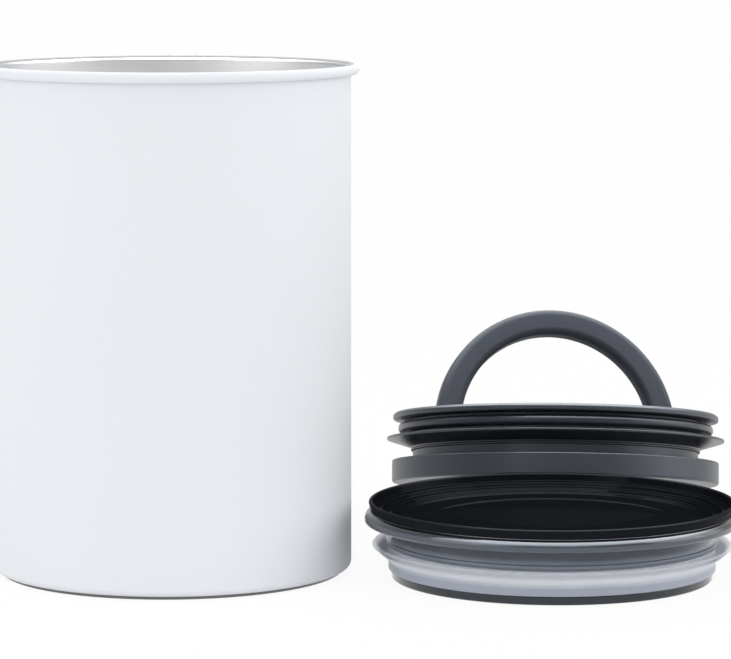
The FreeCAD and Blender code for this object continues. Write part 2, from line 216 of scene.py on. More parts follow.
def fade(shade, value, start, end):
    """Smooth change from 0 to 1 while a value goes from start to end."""
    return shade.node("ShaderNodeMapRange", {"interpolation_type": "SMOOTHSTEP"}, {
        "Value": value, "From Min": start, "From Max": end})


def mirrored_room(shade):
    """Brightness of the room in a reflection, by the way that the ray goes."""
    way = shade.node("ShaderNodeTexCoord", output="Generated")
    towards_back = shade.node("ShaderNodeSeparateXYZ", inputs={0: way}, output="Y")
    upwards = shade.node("ShaderNodeSeparateXYZ", inputs={0: way}, output="Z")
    dark = DARK_BACK + fade(shade, towards_back, *FRONT_FADE) * (DARK_FRONT - DARK_BACK)
    room = 1.0 - dark * fade(shade, upwards, *WALL_FADE)
    room = room + fade(shade, upwards, *CEILING_FADE) * CEILING
    for side_way in SIDE_WAYS:
        nearness = shade.node("ShaderNodeVectorMath", {"operation": "DOT_PRODUCT"},
                              {0: way, 1: side_way}, "Value")
        room = room + fade(shade, nearness, *GLOW_FADE) * SIDE_GLOW
    return room


def light_world():
    """Surroundings that are white to look at, even as light and a room in reflections."""
    world = bpy.data.worlds.new("surroundings")
    world.use_nodes = True
    world.node_tree.nodes.clear()
    shade = Shade(world.node_tree)
    plain = AMBIENT + seen_straight(shade) * (1.0 - AMBIENT)
    strength = plain + ray(shade, "Is Glossy Ray") * (mirrored_room(shade) - plain)
    background = shade.node("ShaderNodeBackground", inputs={
        "Color": WHITE, "Strength": strength})
    shade.node("ShaderNodeOutputWorld", inputs={"Surface": background})
    return world


bpy.context.scene.world = light_world()
bpy.context.scene.view_settings.view_transform = "Standard"
print("surroundings at", AMBIENT)

# %% Floor
FLOOR_SIZE = 20.0
FLOOR_DROP = 0.0002
FLOOR_WHITE = 0.93
FLOOR_GRAIN = 3.0
FLOOR_DEEP = (0.95, 0.95, 0.95, 1)
FLOOR_LIGHT = (0.97, 0.97, 0.97, 1)


def floor_material():
    """Pale floor that shows as white but keeps a faint shadow."""
    material, shade = new_material("pale_floor")
    grain = noise(shade, place(shade), FLOOR_GRAIN)
    matt = shade.node("ShaderNodeBsdfDiffuse", inputs={
        "Color": mix_colour(shade, grain, FLOOR_DEEP, FLOOR_LIGHT)})
    glow = shade.node("ShaderNodeEmission", inputs={"Color": WHITE, "Strength": 1.0})
    seen = shade.math("MAXIMUM", seen_straight(shade), ray(shade, "Is Glossy Ray"))
    finish_material(shade, shade.node("ShaderNodeMixShader", inputs={
        0: seen * FLOOR_WHITE, 1: matt, 2: glow}))
    return material


floor_shape = bmesh.new()
bmesh.ops.create_grid(floor_shape, x_segments=1, y_segments=1, size=FLOOR_SIZE / 2)
bmesh.ops.translate(floor_shape, verts=floor_shape.verts, vec=(0, 0, -FLOOR_DROP))
floor_mesh = bpy.data.meshes.new("floor")
floor_shape.to_mesh(floor_mesh)
floor_shape.free()
floor_mesh.materials.append(floor_material())
floor = bpy.data.objects.new("floor", floor_mesh)
bpy.context.scene.collection.objects.link(floor)
floor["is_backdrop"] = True
print("floor: %.1f m wide" % FLOOR_SIZE)

# %% Lamps
SET_CENTRE = Vector((0.07, 0.03, 0.06))


def softbox(name, spot, size, power):
    """Rectangular lamp that faces the middle of the set."""
    data = bpy.data.lights.new(name, "AREA")
    data.shape = "RECTANGLE"
    data.size, data.size_y = size
    data.energy = power
    lamp = bpy.data.objects.new(name, data)
    lamp.location = spot
    lamp.rotation_euler = (SET_CENTRE - Vector(spot)).to_track_quat("-Z", "Y").to_euler()
    bpy.context.scene.collection.objects.link(lamp)
    print("%s: %.1f W" % (name, power))


softbox("top_softbox", (0.1, -0.1, 1.3), (1.0, 0.8), 1.5)
softbox("left_softbox", (-1.2, -0.7, 0.6), (1.0, 1.0), 2.2)
softbox("right_softbox", (1.4, -0.2, 0.6), (1.0, 1.0), 3.2)

# %% [markdown]
# ## Turned pieces
# Nearly every piece of the set is round, so its half section is drawn as a few corners, the
# corners are rounded with a vertex bevel, and the line is spun about the piece's axis. Spin
# copies the line step by step and joins the copies with faces; merging closes the seam and the
# poles.

# %% Turning a section
MM = 0.001
SPIN_STEPS = 224
ROUND_STEPS = 5
SHARP_ANGLE = math.radians(40)
MERGE = 1e-6


def wire(bm, corners, closed):
    """Line through (radius, height, rounding) corners in mm, with those corners rounded."""
    points = [bm.verts.new((radius * MM, 0, rise * MM)) for radius, rise, _ in corners]
    ends = points[1:] + points[:1]
    for start, end in list(zip(points, ends))[:len(points) if closed else -1]:
        bm.edges.new((start, end))
    spots = [point.co.copy() for point in points]
    for index, point in enumerate(points):
        rounding = corners[index][2] * MM
        if rounding == 0:
            continue
        before = spots[index - 1] - spots[index]
        after = spots[(index + 1) % len(spots)] - spots[index]
        reach = rounding / math.tan(before.angle(after) / 2)
        bmesh.ops.bevel(bm, geom=[point], offset=reach, offset_type="OFFSET",
                        segments=ROUND_STEPS, profile=0.5, affect="VERTICES", material=-1,
                        clamp_overlap=False)


def turned(corners, closed=True, steps=SPIN_STEPS):
    """Mesh of a section spun about the Z axis."""
    bm = bmesh.new()
    wire(bm, corners, closed)
    bmesh.ops.spin(bm, geom=bm.verts[:] + bm.edges[:], cent=(0, 0, 0), axis=(0, 0, 1),
                   angle=2 * math.pi, steps=steps, use_merge=True)
    bmesh.ops.remove_doubles(bm, verts=bm.verts, dist=MERGE)
    bmesh.ops.recalc_face_normals(bm, faces=bm.faces)
    return bm


def finished(bm, spot, name, body, finishes, slot, *replaced):
    """Makes a mesh a smooth object at its spot, riding on a body in place of its CAD nodes."""
    bmesh.ops.transform(bm, matrix=spot, verts=bm.verts)
    mesh = bpy.data.meshes.new(name)
    bm.to_mesh(mesh)
    bm.free()
    for finish in finishes:
        mesh.materials.append(finish)
    mesh.shade_smooth()
    mesh.set_sharp_from_angle(angle=SHARP_ANGLE)
    piece = bpy.data.objects.new(name, mesh)
    bpy.context.scene.collection.objects.link(piece)
    weighted = piece.modifiers.new("even_shading", "WEIGHTED_NORMAL")
    weighted.keep_sharp = True
    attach(piece, body)
    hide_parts(*replaced)
    print("%s: %d faces" % (name, len(mesh.polygons)))


print("full turns are spun in %d steps" % SPIN_STEPS)

# %% Where the lids lie
PIVOT_HEIGHT = 20.8
cap_low, cap_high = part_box("outer_lid_shell")
can_spot = Matrix.Identity(4)
cap_spot = Matrix.Translation(Vector((
    (cap_low.x + cap_high.x) / 2, (cap_low.y + cap_high.y) / 2, cap_low.z)))
lid_up = Vector(joints["valve_lift"]["axis"]).normalized()
lid_across = Vector(joints["handle_fold"]["axis"]).normalized()
lid_back = lid_up.cross(lid_across)
lid_base = Vector(joints["handle_fold"]["pos_m"]) - lid_up * PIVOT_HEIGHT * MM
lid_spot = Matrix((lid_across, lid_back, lid_up)).transposed().to_4x4()
lid_spot.translation = lid_base
print("outer lid at", [round(1000 * c, 1) for c in cap_spot.translation])
lid_lean = math.degrees(lid_up.angle(Vector((0, 0, 1))))
print("inner lid at", [round(1000 * c, 1) for c in lid_base], "leaning %.1f degrees" % lid_lean)

# %% [markdown]
# ## Finishes of the canister
# The outside is a soft matt powder coat: nearly even in colour, with a fine grain that only shows
# in the light's edge. The mouth, the inside and the bottom pan are bare steel, brushed round and
# round, so its fine lines run level. Stretching a noise along the wall gives those lines without a
# drawn texture. The pan's steel is made very dark, as painted shade for the dark line at the foot.
# The very crest of the bead is a dull dark grey that is not metal, a painted dark reflection that
# keeps a thin dark line along the mouth.

# %% White paint
PAINT_LIGHT = (0.83, 0.85, 0.885, 1)
PAINT_DEEP = (0.805, 0.825, 0.86, 1)
PAINT_GRAIN = 1500.0
PAINT_CLOUD = 14.0
PAINT_BUMP = 0.00004


def white_paint():
    """Matt white powder coat."""
    material, shade = new_material("white_paint")
    grain = noise(shade, place(shade), PAINT_GRAIN, 3.0)
    cloud = noise(shade, place(shade), PAINT_CLOUD)
    finish_material(shade, shade.node("ShaderNodeBsdfPrincipled", inputs={
        "Base Color": mix_colour(shade, cloud, PAINT_DEEP, PAINT_LIGHT),
        "Roughness": 0.46 + grain * 0.14,
        "Normal": bump(shade, grain, PAINT_BUMP),
        "Specular IOR Level": 0.12}))
    return material


paint = white_paint()
print("canister paint:", paint.name)

# %% Brushed steel
ROUND_BRUSH = (14.0, 14.0, 2400.0)
PAN_BRUSH = (24.0, 24.0, 1800.0)
FLAT_BRUSH = (1800.0, 24.0, 24.0)
BRUSH_SHADE = (0.88, 0.88, 0.9)
BRUSH_BUMP = 0.00002
STEEL_CLOUD = 30.0


def stretched(shade, scale):
    """Object coordinates stretched differently along X, Y and Z."""
    return shade.node("ShaderNodeMapping", inputs={"Vector": place(shade), "Scale": scale})


def brushed_steel(name, scale, shine, rough, metal=1.0):
    """Bare steel with fine brush lines; scale gives waves per metre along X, Y and Z."""
    material, shade = new_material(name)
    lines = noise(shade, stretched(shade, scale), 1.0, 4.0, 0.6)
    cloud = noise(shade, place(shade), STEEL_CLOUD)
    deep = tuple(part * shine for part in BRUSH_SHADE) + (1,)
    finish_material(shade, shade.node("ShaderNodeBsdfPrincipled", inputs={
        "Base Color": mix_colour(shade, lines, deep, (shine, shine, shine, 1)),
        "Metallic": metal,
        "Roughness": rough + lines * 0.14 + cloud * 0.06,
        "Normal": bump(shade, lines, BRUSH_BUMP)}))
    return material


wall_steel = brushed_steel("wall_steel", ROUND_BRUSH, 0.68, 0.42)
rim_steel = brushed_steel("rim_steel", ROUND_BRUSH, 0.6, 0.3)
# Painted dark reflection: the bead's crest is a dull dark grey, not metal, which keeps a thin dark
# line along the mouth.
crest_painted_reflection_steel = brushed_steel("crest_painted_reflection_steel", ROUND_BRUSH, 0.28, 0.5, metal=0.0)
flat_steel = brushed_steel("flat_steel", FLAT_BRUSH, 0.35, 0.3)
# Painted shade: the pan's steel is very dark, for the dark line along the canister's foot.
pan_painted_shade_steel = brushed_steel("pan_painted_shade_steel", PAN_BRUSH, 0.16, 0.3)
print("canister steel:", wall_steel.name, rim_steel.name, crest_painted_reflection_steel.name, pan_painted_shade_steel.name)

# %% [markdown]
# ## The canister
# The wall is one thin sheet: it rolls outwards at the mouth into a bead with a dark groove under
# it, and turns in at the foot to carry the pan. The section follows the sheet all the way round,
# so the mouth has a real thickness and a real hollow bead. The faces of the bare mouth and inside
# get the steel, the rest the paint.

# %% Canister wall
BORE = 62.4
SHEET = 0.6
BODY = BORE + SHEET
RIM = 66.0
CAN_TOP = 178.0
RIM_ROUND = (RIM - BORE) / 2
CURL = math.radians(80)
CURL_GAP = 0.5
BEND = CAN_TOP - RIM_ROUND * (1 + math.tan(CURL / 2))
CURL_LEG = (RIM - BODY - CURL_GAP - SHEET * math.cos(CURL)) / math.sin(CURL)
PAN_TOP = 1.2
HEM = 57.5
BASE_ROUND = 2.4


def can_section():
    """Corners of the wall's sheet: up the outside, round the bead and down the inside."""
    end_radius = RIM - CURL_LEG * math.sin(CURL)
    end_height = BEND - CURL_LEG * math.cos(CURL)
    return [
        (HEM, PAN_TOP, 0),
        (BODY, PAN_TOP, BASE_ROUND),
        (BODY, CAN_TOP - SHEET, RIM_ROUND - SHEET),
        (RIM - SHEET, CAN_TOP - SHEET, RIM_ROUND - SHEET),
        (RIM - SHEET, BEND + SHEET * math.tan(CURL / 2), RIM_ROUND - SHEET),
        (end_radius - SHEET * math.cos(CURL), end_height + SHEET * math.sin(CURL), 0),
        (end_radius, end_height, 0),
        (RIM, BEND, RIM_ROUND),
        (RIM, CAN_TOP, RIM_ROUND),
        (BORE, CAN_TOP, RIM_ROUND),
        (BORE, PAN_TOP + SHEET, BASE_ROUND - SHEET),
        (HEM, PAN_TOP + SHEET, 0),
    ]


print("the curl's straight leg: %.2f mm" % CURL_LEG)

# %% Finishes round the canister wall
# The crest faces get the painted dark reflection, the inside of the foot the pan's steel with its
# painted shade.
CREST = 0.9
can_finishes = [paint, wall_steel, rim_steel, crest_painted_reflection_steel, pan_painted_shade_steel]
WALL_INSIDE, RIM_SIDE, RIM_CREST, FOOT_INSIDE = range(1, len(can_finishes))
can_shape = turned(can_section())
for face in can_shape.faces:
    middle = face.calc_center_median()
    radius = math.hypot(middle.x, middle.y) / MM
    if middle.z > (CAN_TOP - RIM_ROUND) * MM and radius < BORE + RIM_ROUND:
        face.material_index = RIM_CREST if middle.z > (CAN_TOP - CREST) * MM else RIM_SIDE
    elif radius < BORE + SHEET / 2 and middle.z > (PAN_TOP + BASE_ROUND) * MM:
        face.material_index = WALL_INSIDE
    elif radius < BORE + SHEET / 2 and face.normal.z > 0:
        face.material_index = FOOT_INSIDE
finished(can_shape, can_spot, "can_wall", "canister", can_finishes, "white_paint", "canister_wall")

# %% Base pan
PAN = 60.3
PAN_ROUND = 0.9
PAN_INNER_ROUND = 0.3
pan_section = [
    (0, 0, 0),
    (PAN, 0, PAN_ROUND),
    (PAN, PAN_TOP, 0),
    (PAN - SHEET, PAN_TOP, 0),
    (PAN - SHEET, SHEET, PAN_INNER_ROUND),
    (0, SHEET, 0),
]
finished(turned(pan_section, closed=False), can_spot, "can_pan", "canister", [pan_painted_shade_steel],
         "steel", "base_pan")

# %% [markdown]
# ## The outer lid
# The outer lid is a smoky see-through plastic: a flange with a rounded edge, a crown, three
# ledges down to a flat dish, and a hollow plug that carries a white silicone gasket. Light passes
# through it a little, so the shader lets part of the light in and tints it dark grey. Its outside
# is glossy, but the dish and the crown hardly shine in the photograph, so masks by height and by
# distance from the axis mix a dull black in there.
# Light is also painted into its colour: a paler grey where light comes through the thin skirt, a
# paler grey on the ring where the white gasket glows through, and a painted highlight band along
# the flange's edge.

# %% Smoky plastic
SMOKE_DEEP = (0.007, 0.008, 0.0105, 1)
# Painted light: a paler grey where light comes through the thin skirt; the top and the foot keep
# the deep grey.
SMOKE_PAINTED_LIGHT_THROUGH = (0.05, 0.057, 0.072, 1)
# Painted light: a paler grey on the ring for the white gasket glowing through it.
SMOKE_PAINTED_GASKET_GLOW = (0.24, 0.265, 0.32, 1)
# Painted highlight: a paler grey in a narrow band along the flange's edge.
SMOKE_PAINTED_EDGE_HIGHLIGHT = (0.1, 0.11, 0.135, 1)
SMOKE_TINT = (0.75, 0.86, 1.0, 1)
HAZE_SCALE = 60.0
HAZE_SHIFT = 0.001
TOP_FADE = (0.0205, 0.0225)
FOOT_FADE = (0.0045, 0.0035)
RING_TOP_FADE = (0.0165, 0.0145)
RING_FOOT_FADE = (0.004, 0.006)
EDGE_OUT_FADE = (0.064, 0.065)
EDGE_TOP_FADE = (0.0226, 0.0218)
DISH_IN_FADE = (0.0626, 0.0622)
DISH_UP_FADE = (0.0195, 0.02)
CROWN_IN_FADE = (0.0648, 0.0644)
CROWN_UP_FADE = (0.0232, 0.0238)
DISH_DULL = 0.95
CROWN_DULL = 0.9


def table_height(shade):
    """Height above the table in metres."""
    return shade.node("ShaderNodeSeparateXYZ", inputs={0: place(shade)}, output="Z")


def from_axis(shade, spot):
    """Distance in metres from an upright axis."""
    flat_place = stretched(shade, (1, 1, 0))
    return shade.node("ShaderNodeVectorMath", {"operation": "DISTANCE"}, {
        0: flat_place, 1: (spot.x, spot.y, 0)}, "Value")


def smoke_plastic():
    """Dark grey plastic, dull in the dish, with light painted into its colour:
    paler where light comes through the skirt and the ring, and a painted highlight along the
    flange's edge.
    """
    material, shade = new_material("smoke_plastic")
    haze = noise(shade, place(shade), HAZE_SCALE, 4.0)
    rise = table_height(shade) + haze * HAZE_SHIFT
    outwards = from_axis(shade, cap_spot.translation)
    # 1 at the top and the foot, which keep the deep grey, 0 on the skirt between, which gets the
    # painted light.
    deep_without_painted_light = shade.math("MAXIMUM", fade(shade, rise, *TOP_FADE), fade(shade, rise, *FOOT_FADE))
    # ring marks the band in front of the gasket, which gets the painted glow.
    ring = fade(shade, rise, *RING_TOP_FADE) * fade(shade, rise, *RING_FOOT_FADE)
    # edge marks the narrow band along the flange's edge that gets the painted highlight.
    edge = fade(shade, outwards, *EDGE_OUT_FADE) * fade(shade, rise, *EDGE_TOP_FADE)
    colour = mix_colour(shade, deep_without_painted_light, SMOKE_PAINTED_LIGHT_THROUGH, SMOKE_DEEP)
    colour = mix_colour(shade, edge, colour, SMOKE_PAINTED_EDGE_HIGHLIGHT)
    glossy = shade.node("ShaderNodeBsdfPrincipled", inputs={
        "Base Color": mix_colour(shade, ring, colour, SMOKE_PAINTED_GASKET_GLOW),
        "Roughness": 0.05 + haze * 0.05,
        "Transmission Weight": 0.3,
        "Coat Weight": 0.5,
        "Coat Roughness": 0.02,
        "Specular Tint": SMOKE_TINT,
        "IOR": 1.49})
    dull = shade.node("ShaderNodeBsdfPrincipled", inputs={
        "Base Color": SMOKE_DEEP,
        "Roughness": 0.5 + haze * 0.1,
        "Specular IOR Level": 0.0})
    rise = table_height(shade)
    dish = fade(shade, outwards, *DISH_IN_FADE) * fade(shade, rise, *DISH_UP_FADE)
    crown = fade(shade, outwards, *CROWN_IN_FADE) * fade(shade, rise, *CROWN_UP_FADE)
    share = shade.math("MAXIMUM", dish * DISH_DULL, crown * CROWN_DULL)
    finish_material(shade, shade.node("ShaderNodeMixShader", inputs={
        0: share, 1: glossy, 2: dull}))
    return material


smoke = smoke_plastic()
print("outer lid shell:", smoke.name)

# %% White silicone
SILICONE_FREE = (0.91, 0.935, 0.98, 1)
# Painted shade: the band below the free lip is a darker grey for the dark plug behind it and the
# shade under the lip.
SILICONE_PAINTED_SHADE = (0.38, 0.41, 0.48, 1)
MILK_SCALE = 45.0
MILK_SHIFT = 0.001
FREE_FADE = (0.0058, 0.0084)
TIP_FADE = (0.0592, 0.0622)
TIP_CLEAR = 0.75
LIP_GLOW = 0.2


def white_silicone():
    """Milky silicone, nearly clear at the tip of the free lip; the band on the dark plug is
    greyed with painted shade.
    """
    material, shade = new_material("white_silicone")
    cloud = noise(shade, place(shade), MILK_SCALE, 3.0)
    # free is 1 on the free lip and 0 on the band, which gets the painted shade.
    free = fade(shade, table_height(shade) + cloud * MILK_SHIFT, *FREE_FADE)
    tip = fade(shade, from_axis(shade, cap_spot.translation), *TIP_FADE)
    solid = shade.node("ShaderNodeBsdfPrincipled", inputs={
        "Base Color": mix_colour(shade, free, SILICONE_PAINTED_SHADE, SILICONE_FREE),
        "Roughness": 0.3 + cloud * 0.12,
        "Alpha": 1.0 - tip * TIP_CLEAR,
        "IOR": 1.41})
    glow = shade.node("ShaderNodeBsdfTranslucent", inputs={"Color": SILICONE_FREE})
    finish_material(shade, shade.node("ShaderNodeMixShader", inputs={
        0: free * LIP_GLOW, 1: solid, 2: glow}))
    return material


silicone = white_silicone()
print("outer lid gasket:", silicone.name)

# %% Sizes of the outer lid
CAP = 65.4
CAP_TOP = 26.8
CAP_UNDER = 19.3
EDGE_TOP = 22.3
EDGE_ROUND = 2.2
CROWN = 64.1
CROWN_FOOT = 23.5
CROWN_FLARE = 0.9
CROWN_ROUND = 0.7
CROWN_WIDTH = 1.8
CROWN_FOOT_ROUND = 0.35
NECK = 57.0
NECK_ROOM = 54.6
PLUG = 56.0
GROOVE = 54.0
GROOVE_LOW = 3.0
GROOVE_HIGH = 12.0
STOP_RING = 57.8
STOP_TOP = 13.7
SKIRT_ROOM = 51.8
ROOM_ROUND = 1.2
NECK_SHELF = 1.7
SKIRT_SHELF = 1.0
SKIRT_ROUND = 0.36
PLUG_ROUND = 0.72
UNDER_ROUND = 1.0
print("outer lid: %.1f mm across, %.1f mm tall" % (2 * CAP, CAP_TOP))

# %% Dish of the outer lid
DISH_DROP = 2.8
STEP_SHARES = (1, 0.75, 0.5)
STEP_RISE = 1.5
STEP_RUN = 0.6
STEP_ROUND = 0.375
LEDGE = 2.8
DISC = 42.5
DISC_DROP = 0.4
DISC_ROUND = 0.13
PANEL = 2.4


def dish_section():
    """Corners of the dish from the crown's inner edge in to the flat disc."""
    radius = CROWN - CROWN_WIDTH
    rise = CAP_TOP - DISH_DROP
    corners = [(radius, CAP_TOP, CROWN_ROUND)]
    for share in STEP_SHARES:
        radius -= STEP_RUN
        corners.append((radius, rise, STEP_ROUND))
        radius -= LEDGE * min(1, 2 * share - 0.5)
        corners.append((radius, rise, STEP_ROUND))
        rise -= STEP_RISE * share
    return corners + [
        (radius - STEP_RUN, rise, STEP_ROUND),
        (DISC + DISC_DROP, rise, DISC_ROUND),
        (DISC, rise - DISC_DROP, DISC_ROUND),
        (0, rise - DISC_DROP, 0),
    ]


dish_corners = dish_section()
panel_under = dish_corners[-1][1] - PANEL
print("the disc lies %.1f mm below the crown" % (CAP_TOP - dish_corners[-1][1]))

# %% Outer lid shell
cap_section = [
    (0, panel_under, 0),
    (NECK_ROOM, panel_under, ROOM_ROUND),
    (NECK_ROOM, STOP_TOP + NECK_SHELF, SKIRT_ROUND),
    (SKIRT_ROOM, GROOVE_HIGH + SKIRT_SHELF, SKIRT_ROUND),
    (SKIRT_ROOM, 0, SKIRT_ROUND),
    (PLUG, 0, PLUG_ROUND),
    (PLUG, GROOVE_LOW, SKIRT_ROUND),
    (GROOVE, GROOVE_LOW, 0),
    (GROOVE, GROOVE_HIGH, 0),
    (STOP_RING, GROOVE_HIGH, SKIRT_ROUND),
    (STOP_RING, STOP_TOP, SKIRT_ROUND),
    (NECK, STOP_TOP, SKIRT_ROUND),
    (NECK, CAP_UNDER, UNDER_ROUND),
    (CAP, CAP_UNDER, UNDER_ROUND),
    (CAP, EDGE_TOP, EDGE_ROUND),
    (CROWN - CROWN_FLARE, CROWN_FOOT, CROWN_FOOT_ROUND),
    (CROWN, CAP_TOP, CROWN_ROUND),
] + dish_corners
finished(turned(cap_section, closed=False), cap_spot, "cap_shell", "outer_lid", [smoke],
         "smoke_plastic", "outer_lid_shell")

# %% Outer lid gasket
FIT = 0.05
GASKET_BAND = 57.0
GASKET_ROUND = 0.5
LIP_ROOT = 6.5
LIP_TIP = 62.8
LIP_RISE = 5.0
LIP_THICK = 1.2
ROOT_ROUND = 0.6
TIP_ROUND = 0.48
lip_slope = math.atan2(LIP_RISE, LIP_TIP - GASKET_BAND)
tip_top = LIP_ROOT + LIP_RISE + LIP_THICK * math.cos(lip_slope)
gasket_section = [
    (GROOVE + FIT, GROOVE_LOW + FIT, 0),
    (GASKET_BAND, GROOVE_LOW + FIT, GASKET_ROUND),
    (GASKET_BAND, LIP_ROOT, ROOT_ROUND),
    (LIP_TIP, LIP_ROOT + LIP_RISE, TIP_ROUND),
    (LIP_TIP - LIP_THICK * math.sin(lip_slope), tip_top, TIP_ROUND),
    (GASKET_BAND, LIP_ROOT + LIP_THICK / math.cos(lip_slope), ROOT_ROUND),
    (GASKET_BAND, GROOVE_HIGH - FIT, GASKET_ROUND),
    (GROOVE + FIT, GROOVE_HIGH - FIT, 0),
]
finished(turned(gasket_section), cap_spot, "cap_gasket", "outer_lid", [silicone],
         "clear_silicone", "outer_lid_gasket")

# %% [markdown]
# ## Finishes of the inner lid
# The inner lid is moulded in black plastic with a fine spark texture, dull enough that the white
# studio only lights its edges; the handle is a shade paler. Its two wiping rings are rubber, a
# little smoother. The small hidden parts of the valve are black plastic, steel and silicone.

# %% Black plastic and rubber
GRAIN_SHADE = 0.8
WEAR_SCALE = 35.0
COOL_TINT = (0.82, 0.9, 1.0, 1)
SPARK_GRAIN = (2600.0, 0.00003)
SMOOTH_GRAIN = (900.0, 0.00001)


def moulded(name, colour, rough, shine, grain_scale, grain_depth):
    """Moulded plastic or rubber with a fine grain."""
    material, shade = new_material(name)
    grain = noise(shade, place(shade), grain_scale, 3.0)
    wear = noise(shade, place(shade), WEAR_SCALE)
    deep = tuple(GRAIN_SHADE * part for part in colour) + (1,)
    finish_material(shade, shade.node("ShaderNodeBsdfPrincipled", inputs={
        "Base Color": mix_colour(shade, grain, deep, colour + (1,)),
        "Roughness": rough + wear * 0.1,
        "Normal": bump(shade, grain, grain_depth),
        "Specular IOR Level": shine,
        "Specular Tint": COOL_TINT}))
    return material


black = moulded("black_plastic", (0.036, 0.0395, 0.049), 0.3, 0.6, *SPARK_GRAIN)
grip_black = moulded("grip_plastic", (0.044, 0.048, 0.06), 0.4, 0.25, *SPARK_GRAIN)
rubber = moulded("black_rubber", (0.022, 0.025, 0.032), 0.25, 0.6, *SMOOTH_GRAIN)
disc_silicone = moulded("disc_silicone", (0.6, 0.63, 0.68), 0.3, 0.5, *SMOOTH_GRAIN)
print("inner lid finishes:", black.name, grip_black.name, rubber.name, disc_silicone.name)

# %% [markdown]
# ## The inner lid's turned pieces
# From the bottom up: the wide guide band with its groove, the neck, the thin lip of the deck, the
# lower wiper with its flaring fin, the upper wiper with its round bead, and the flange. The lid
# leans back on the outer lid, so each section is spun upright and then carried to the leaning
# place. Posts are joined on and holes are cut out with the Boolean modifier, and each of its
# tools is one closed shape, so that every run gives the same mesh.

# %% Carving a mesh
TOOL_STEPS = 48
OVER = 1.0


def upright(radius, x, y, low, high):
    """Upright cylinder between two heights, in mm."""
    bm = bmesh.new()
    spot = Matrix.Translation(Vector((x, y, (low + high) / 2)) * MM)
    bmesh.ops.create_cone(bm, cap_ends=True, segments=TOOL_STEPS, radius1=radius * MM,
                          radius2=radius * MM, depth=(high - low) * MM, matrix=spot)
    return bm


def rotate(bm, angle, axis):
    """Turns a mesh about an axis through the origin."""
    bmesh.ops.rotate(bm, verts=bm.verts, cent=(0, 0, 0), matrix=Matrix.Rotation(angle, 3, axis))


def shift(bm, x, y, z):
    """Moves a mesh by so many mm."""
    bmesh.ops.translate(bm, verts=bm.verts, vec=(x * MM, y * MM, z * MM))


def span(side, start, end):
    """Two distances along X on one side of the axis, the lower one first."""
    return sorted((side * start, side * end))


def around(count, radius, first):
    """Evenly spaced (x, y) places round the axis."""
    angles = [math.radians(first + 360 * index / count) for index in range(count)]
    return [(radius * math.cos(angle), radius * math.sin(angle)) for angle in angles]


def carved(bm, operation, tools):
    """Mesh after its tools are joined to it or cut out of it."""
    for tool in tools:
        shapes = []
        for source in (bm, tool):
            mesh = bpy.data.meshes.new("carving")
            source.to_mesh(mesh)
            source.free()
            shapes.append(bpy.data.objects.new("carving", mesh))
            bpy.context.scene.collection.objects.link(shapes[-1])
        cut = shapes[0].modifiers.new("carving", "BOOLEAN")
        cut.operation = operation
        cut.solver = "EXACT"
        cut.object = shapes[1]
        bm = bmesh.new()
        bm.from_object(shapes[0], bpy.context.evaluated_depsgraph_get())
        for shape in shapes:
            mesh = shape.data
            bpy.data.objects.remove(shape)
            bpy.data.meshes.remove(mesh)
    bmesh.ops.remove_doubles(bm, verts=bm.verts, dist=MERGE)
    bmesh.ops.dissolve_degenerate(bm, dist=MERGE, edges=bm.edges)
    return bm


print("carving ready")

# %% Sizes of the plunger cup
BAND = 62.15
BAND_TOP = 8.5
BAND_WALL = 2.0
PLATE = 2.0
NECK_INSIDE = 51.6
NECK_OUTSIDE = 54.3
NECK_END = 12.2
WELL = 18.4
WELL_INSIDE = 16.2
WELL_TOP = 8.45
WELL_DEPTH = 6.45
GUARD_SEAT = 17.2
GUARD_THICK = 1.2
STEM_ROOM = 2.1
VENT = 1.6
VENT_CIRCLE = 10.2
SCREW = 1.4
SCREW_POST = 3.4
SCREW_CIRCLE = 43.0
SCREW_DEPTH = 9.0
POST_SINK = 0.2
FLOOR_TOP = 15.9
FLOOR_UNDER = 14.1
CUP_ROUND = 0.5
NECK_ROUND = 0.25
BAND_FOOT_ROUND = 1.0
vent_places = around(6, VENT_CIRCLE, 0)
screw_places = around(4, SCREW_CIRCLE, 45)
print("vents: %d, screws: %d" % (len(vent_places), len(screw_places)))

# %% Plunger cup
cup_section = [
    (STEM_ROOM, WELL_TOP, 0),
    (WELL, WELL_TOP, CUP_ROUND),
    (WELL, PLATE, CUP_ROUND),
    (NECK_INSIDE, PLATE, CUP_ROUND),
    (NECK_INSIDE, NECK_END, 0),
    (NECK_OUTSIDE, NECK_END, NECK_ROUND),
    (NECK_OUTSIDE, PLATE, CUP_ROUND),
    (BAND - BAND_WALL, PLATE, CUP_ROUND),
    (BAND - BAND_WALL, BAND_TOP, CUP_ROUND),
    (BAND, BAND_TOP, CUP_ROUND),
    (BAND, 0, BAND_FOOT_ROUND),
    (GUARD_SEAT, 0, 0),
    (GUARD_SEAT, GUARD_THICK, 0),
    (WELL_INSIDE, GUARD_THICK, 0),
    (WELL_INSIDE, WELL_DEPTH, 0),
    (STEM_ROOM, WELL_DEPTH, 0),
]
posts = [upright(SCREW_POST, x, y, PLATE - POST_SINK, FLOOR_UNDER) for x, y in screw_places]
vents = [upright(VENT, x, y, WELL_DEPTH - OVER, WELL_TOP + OVER) for x, y in vent_places]
holes = [upright(SCREW, x, y, FLOOR_TOP - SCREW_DEPTH, FLOOR_UNDER + OVER) for x, y in screw_places]
cup_shape = carved(carved(turned(cup_section), "UNION", posts), "DIFFERENCE", vents + holes)
finished(cup_shape, lid_spot, "lid_cup", "inner_lid", [black], "black_plastic", "plunger_cup")

